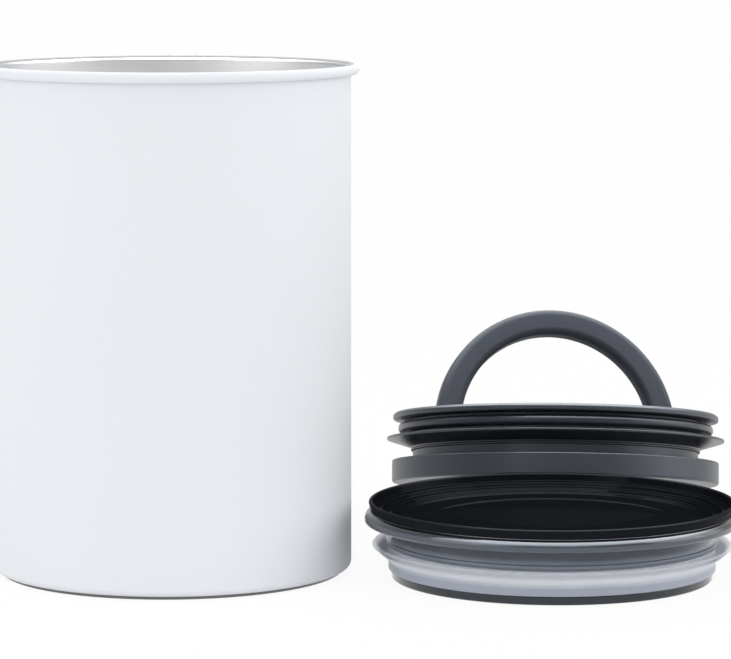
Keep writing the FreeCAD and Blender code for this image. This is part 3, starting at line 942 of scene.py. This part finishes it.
# %% Wiping rings
LAND = 51.5
LAND_START = 12.8
FIN = 64.2
FIN_RING = LAND + 3.5
FIN_ROOT = (0.7, 2.2)
FIN_TIP = (3.5, 4.4)
FIN_HEIGHT = 4.6
FIN_ROUND = 0.25
BEAD = 59.9
BEAD_HALF = 1.8
BEAD_ROUND = 1.44
BEAD_RING = LAND + 4.0
BEAD_HEIGHT = 6.35
RING_ROUND = 0.36
fin_low = LAND_START + FIT
fin_section = [
    (LAND + FIT, fin_low, 0),
    (FIN_RING, fin_low, FIN_ROUND),
    (FIN_RING, fin_low + FIN_ROOT[0], FIN_ROUND),
    (FIN, fin_low + FIN_TIP[0], FIN_ROUND),
    (FIN, fin_low + FIN_TIP[1], FIN_ROUND),
    (FIN_RING, fin_low + FIN_ROOT[1], FIN_ROUND),
    (FIN_RING, fin_low + FIN_HEIGHT, FIN_ROUND),
    (LAND + FIT, fin_low + FIN_HEIGHT, 0),
]
bead_low = fin_low + FIN_HEIGHT + FIT
bead_middle = bead_low + BEAD_HEIGHT / 2
bead_section = [
    (LAND + FIT, bead_low, 0),
    (BEAD_RING, bead_low, RING_ROUND),
    (BEAD_RING, bead_middle - BEAD_HALF, RING_ROUND),
    (BEAD, bead_middle - BEAD_HALF, BEAD_ROUND),
    (BEAD, bead_middle + BEAD_HALF, BEAD_ROUND),
    (BEAD_RING, bead_middle + BEAD_HALF, RING_ROUND),
    (BEAD_RING, bead_low + BEAD_HEIGHT, RING_ROUND),
    (LAND + FIT, bead_low + BEAD_HEIGHT, 0),
]
finished(turned(fin_section), lid_spot, "lid_fin", "inner_lid", [rubber], "black_rubber",
         "lower_wiper")
finished(turned(bead_section), lid_spot, "lid_bead", "inner_lid", [rubber], "black_rubber",
         "upper_wiper")

# %% Section of the top deck
DECK_ROOM = 48.5
DECK_TOP = 26.5
FLANGE = 61.9
LAND_END = 23.9
DECK_LIP = 55.0
SKIRT_END = 8.2
SKIRT_INSIDE = 49.5
DOME = 13.5
DOME_INSIDE = 11.7
DOME_ROOF = 16.3
DOME_TOP = 18.1
DOME_ROUND = 1.8
ROOF_ROUND = 0.9
DECK_ROUND = 0.45
FLOOR_ROUND = 1.0
FLANGE_SIDE = 1.8
FLANGE_SLOPE = 1.0
FLANGE_TOP_ROUND = 0.5
FLANGE_ROUND = 0.6
DECK_LIP_ROUND = 0.15
deck_section = [
    (0, DOME_TOP, 0),
    (DOME, DOME_TOP, DOME_ROUND),
    (DOME, FLOOR_TOP, DECK_ROUND),
    (DECK_ROOM, FLOOR_TOP, FLOOR_ROUND),
    (DECK_ROOM, DECK_TOP, DECK_ROUND),
    (FLANGE - FLANGE_SLOPE, DECK_TOP, FLANGE_TOP_ROUND),
    (FLANGE, LAND_END + FLANGE_SIDE, FLANGE_ROUND),
    (FLANGE, LAND_END, FLANGE_ROUND),
    (LAND, LAND_END, 0),
    (LAND, LAND_START, 0),
    (DECK_LIP, LAND_START, DECK_LIP_ROUND),
    (DECK_LIP, NECK_END, DECK_LIP_ROUND),
    (LAND, NECK_END, 0),
    (LAND, SKIRT_END, DECK_ROUND),
    (SKIRT_INSIDE, SKIRT_END, DECK_ROUND),
    (SKIRT_INSIDE, FLOOR_UNDER, 0),
    (DOME_INSIDE, FLOOR_UNDER, 0),
    (DOME_INSIDE, DOME_ROOF, ROOF_ROUND),
    (0, DOME_ROOF, 0),
]
print("top deck: %.1f mm across, its well %.1f mm deep" % (2 * FLANGE, DECK_TOP - FLOOR_TOP))

# %% Tools for the top deck
BOSS = 4.2
BOSS_SINK = 0.2
SCREW_ROOM = SCREW + 0.1
SINK = 3.1
SINK_DEPTH = 1.4
SINK_OVER = 0.2


def level(radius, start, end, rise):
    """Cylinder along X between two distances from the axis, in mm."""
    bm = upright(radius, 0, 0, start, end)
    rotate(bm, math.pi / 2, "Y")
    shift(bm, 0, 0, rise)
    return bm


def brick(x_range, y_range, z_range):
    """Box between two corners, in mm."""
    bm = bmesh.new()
    low = Vector((x_range[0], y_range[0], z_range[0])) * MM
    high = Vector((x_range[1], y_range[1], z_range[1])) * MM
    bmesh.ops.create_cube(bm, size=1.0)
    bmesh.ops.scale(bm, verts=bm.verts, vec=high - low)
    bmesh.ops.translate(bm, verts=bm.verts, vec=(low + high) / 2)
    return bm


def boss(near, far):
    """Pivot boss: a cylinder along X whose lower half reaches down into the deck's floor."""
    bm = level(BOSS, near, far, PIVOT_HEIGHT)
    for vert in bm.verts:
        if vert.co.z < (PIVOT_HEIGHT - BOSS_SINK) * MM:
            vert.co.z = (FLOOR_TOP - BOSS_SINK) * MM
    return bm


def screw_room(x, y):
    """Screw hole and its countersink in one turned shape."""
    bm = turned([
        (0, FLOOR_UNDER - OVER, 0),
        (SCREW_ROOM, FLOOR_UNDER - OVER, 0),
        (SCREW_ROOM, FLOOR_TOP - SINK_DEPTH, 0),
        (SINK, FLOOR_TOP + SINK_OVER, 0),
        (0, FLOOR_TOP + SINK_OVER, 0),
    ], closed=False, steps=TOOL_STEPS)
    shift(bm, x, y, 0)
    return bm


print("countersinks: %.1f mm deep" % SINK_DEPTH)

# %% Top deck
BOSS_FACE = 47.0
BOSS_ROOT = 1.5
PIN = 1.42
SLOT = (32.8, 38.0)
SLOT_HALF = 3.8
added = []
removed = [screw_room(x, y) for x, y in screw_places]
for side in (1, -1):
    added.append(boss(*span(side, BOSS_FACE, DECK_ROOM + BOSS_ROOT)))
    removed.append(level(PIN, *span(side, BOSS_FACE - OVER, LAND + OVER), PIVOT_HEIGHT))
    removed.append(brick(span(side, *SLOT), (-SLOT_HALF, SLOT_HALF),
                         (FLOOR_UNDER - OVER, FLOOR_TOP + OVER)))
deck_shape = carved(turned(deck_section, closed=False), "UNION", added)
deck_shape = carved(deck_shape, "DIFFERENCE", removed)
finished(deck_shape, lid_spot, "lid_deck", "inner_lid", [black], "black_plastic", "top_deck")

# %% [markdown]
# ## The handle
# The grip is half a ring of rounded square section, and each end is rounded about the pin it
# folds on. The section is spun half a turn for the grip, and its outer half is spun half a turn
# about the pins for each foot, so both share the same points where they meet. The round cams that
# press the valve down stand on the inner side of the feet, off the pins' centre.

# %% Grip and feet of the handle
HANDLE = 46.7
HANDLE_INSIDE = 37.2
HANDLE_HALF = 4.5
HANDLE_ROUND = 2.4
GRIP_STEPS = 96
FOOT_STEPS = 28
JOIN = 2e-6


def handle_wire(bm, corners, closed):
    """Rounded line of the section: X out from the lid's axis, Y across the grip."""
    wire(bm, corners, closed)
    rotate(bm, math.pi / 2, "X")


def grip():
    """Half ring standing on the pin line."""
    bm = bmesh.new()
    handle_wire(bm, [
        (HANDLE_INSIDE, 0, 0),
        (HANDLE_INSIDE, HANDLE_HALF, HANDLE_ROUND),
        (HANDLE, HANDLE_HALF, HANDLE_ROUND),
        (HANDLE, 0, 0),
        (HANDLE, -HANDLE_HALF, HANDLE_ROUND),
        (HANDLE_INSIDE, -HANDLE_HALF, HANDLE_ROUND),
    ], True)
    bmesh.ops.spin(bm, geom=bm.verts[:] + bm.edges[:], cent=(0, 0, 0), axis=(0, 1, 0),
                   angle=-math.pi, steps=GRIP_STEPS)
    return bm


def foot():
    """Round end below the pin line."""
    bm = bmesh.new()
    handle_wire(bm, [
        (HANDLE_INSIDE, 0, 0),
        (HANDLE_INSIDE, HANDLE_HALF, HANDLE_ROUND),
        (HANDLE, HANDLE_HALF, HANDLE_ROUND),
        (HANDLE, 0, 0),
    ], False)
    bmesh.ops.spin(bm, geom=bm.verts[:] + bm.edges[:], cent=(0, 0, 0), axis=(1, 0, 0),
                   angle=math.pi, steps=FOOT_STEPS)
    return bm


def joined(*parts):
    """One mesh of several, with shared points merged and faces turned outwards."""
    whole = bmesh.new()
    for part in parts:
        mesh = bpy.data.meshes.new("joining")
        part.to_mesh(mesh)
        part.free()
        whole.from_mesh(mesh)
        bpy.data.meshes.remove(mesh)
    bmesh.ops.remove_doubles(whole, verts=whole.verts, dist=JOIN)
    bmesh.ops.recalc_face_normals(whole, faces=whole.faces)
    return whole


left_foot = foot()
rotate(left_foot, math.pi, "Z")
handle_shape = joined(grip(), foot(), left_foot)
print("open edges in the handle:", sum(not edge.is_manifold for edge in handle_shape.edges))

# %% Bail handle
HANDLE_BACK = math.radians(10)
HANDLE_TURN = math.pi / 2 + HANDLE_BACK
VALVE_TRAVEL = 2.0
CAM = 4.2
CAM_FACE = 33.6
CAM_ROOT = 0.5
CAM_THROW = VALVE_TRAVEL / (2 * math.sin(HANDLE_TURN / 2))
PIN_REACH = 6.9
PIN_ROOM = PIN + 0.03
rotate(handle_shape, -HANDLE_BACK, "X")
cams = []
pin_holes = []
for side in (1, -1):
    cam = level(CAM, *span(side, CAM_FACE, HANDLE_INSIDE + CAM_ROOT),
                -CAM_THROW * math.sin(HANDLE_TURN / 2))
    shift(cam, 0, CAM_THROW * math.cos(HANDLE_TURN / 2), 0)
    cams.append(cam)
    pin_holes.append(level(PIN_ROOM, *span(side, HANDLE - PIN_REACH, HANDLE + OVER), 0))
handle_shape = carved(carved(handle_shape, "UNION", cams), "DIFFERENCE", pin_holes)
shift(handle_shape, 0, 0, PIVOT_HEIGHT)
finished(handle_shape, lid_spot, "lid_handle", "handle", [grip_black], "black_plastic",
         "bail_handle")

# %% [markdown]
# ## The hidden works
# The pins, screws, spring and valve sit inside the inner lid and keep the shapes they have in the
# CAD model. They only need their finishes: steel for the pins, screws, stem, retainer and spring,
# silicone for the sealing disc, and black plastic for the bridge and the guard.

# %% Finishes of the hidden pieces
hidden_finishes = {
    "deck_screws": flat_steel,
    "handle_pins": flat_steel,
    "valve_bridge": black,
    "valve_disc": disc_silicone,
    "valve_guard": black,
    "valve_retainer": flat_steel,
    "valve_spring": flat_steel,
    "valve_stem": flat_steel,
}
for name, finish in hidden_finishes.items():
    node = nodes[name]
    node.data.materials.clear()
    node.data.materials.append(finish)
print("hidden pieces finished:", len(hidden_finishes))

# %% [markdown]
# ## Size
# The CAD model's box is printed where the model is loaded, and the dressed set's box here. The
# dressed set has to keep the CAD model's box.

# %% Print the dressed set's box
seen_low, seen_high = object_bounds()
seen_size = [round(1000 * (high - low), 1) for low, high in zip(seen_low, seen_high)]
print("visual box in mm:", seen_size)
